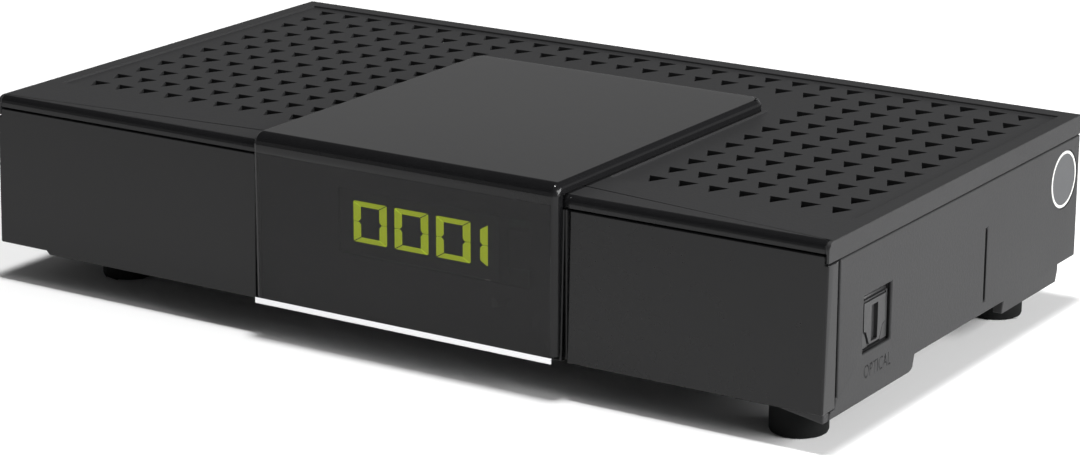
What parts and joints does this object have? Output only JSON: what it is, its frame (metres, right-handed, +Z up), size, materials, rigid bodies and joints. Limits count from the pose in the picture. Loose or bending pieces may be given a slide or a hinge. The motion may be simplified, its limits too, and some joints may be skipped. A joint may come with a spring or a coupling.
{
  "type": "satellite receiver",
  "caption": "Low box-shaped television receiver with vented cover, raised gloss band, digit display, side optical socket with shutter, rear sockets and switch.",
  "frame": {"origin": "on the table, under the middle of the whole outline with its rear sockets", "axes": "+X to the side with the optical socket, +Y to the rear sockets, +Z up"},
  "size_m": [0.168, 0.1066, 0.0362],
  "materials": {
    "dark_abs": "fine textured moulded ABS",
    "gloss_black": "polished moulded plastic",
    "smoked_acrylic": "polished dark acrylic",
    "bright_chrome": "bright plated plastic",
    "lit_green": "light guides, yellow-green when lit",
    "module_black": "matt dark resin",
    "circuit_board": "green solder mask",
    "zinc_steel": "zinc plated",
    "socket_black": "satin moulded resin",
    "emitter_red": "clear red resin",
    "tinned_steel": "tinned sheet",
    "nickel_plate": "nickel plated brass",
    "chip_epoxy": "moulded epoxy",
    "black_aluminium": "black anodised",
    "capacitor_sleeve": "shrunk sleeve",
    "ferrite": "pressed ferrite",
    "header_white": "nylon",
    "ribbon_grey": "flat cable",
    "black_rubber": "moulded rubber"
  },
  "bodies": {
    "casing": {"base_tray": "dark_abs", "top_cover": "dark_abs", "front_fascia": "gloss_black", "centre_band": "gloss_black", "display_lens": "smoked_acrylic", "trim_strip": "bright_chrome", "display_segments": "lit_green", "display_module": "module_black", "display_board": "circuit_board", "infrared_receiver": "smoked_acrylic", "cover_screws": "zinc_steel", "board_screws": "zinc_steel", "main_board": "circuit_board", "optical_socket": "socket_black", "optical_emitter": "emitter_red", "rear_panel": "dark_abs", "tuner_can": "tinned_steel", "aerial_in_socket": "nickel_plate", "aerial_out_socket": "nickel_plate", "hdmi_socket": "tinned_steel", "usb_socket": "tinned_steel", "scart_socket": "socket_black", "dc_socket": "socket_black", "power_switch_housing": "socket_black", "main_chip": "chip_epoxy", "heat_sink": "black_aluminium", "memory_chips": "chip_epoxy", "capacitors": "capacitor_sleeve", "inductors": "ferrite", "ribbon_header": "header_white", "ribbon_cable": "ribbon_grey", "front_right_foot": "black_rubber", "front_left_foot": "black_rubber", "rear_right_foot": "black_rubber", "rear_left_foot": "black_rubber"},
    "shutter": {"optical_shutter": "socket_black"},
    "rocker": {"power_switch_rocker": "socket_black"}
  },
  "joints": [
    {"name": "shutter_hinge", "type": "hinge", "parent": "casing", "child": "shutter", "pos_m": [0.08255, -0.0339, 0.0211], "axis": [0, 1, 0], "range_deg": [0, 82], "stiffness_Nm_per_rad": 0.002, "springref_deg": -20.05},
    {"name": "rocker_hinge", "type": "hinge", "parent": "casing", "child": "rocker", "pos_m": [0.068, 0.0438, 0.0217], "axis": [0, 0, 1], "range_deg": [-16, 0]}
  ]
}
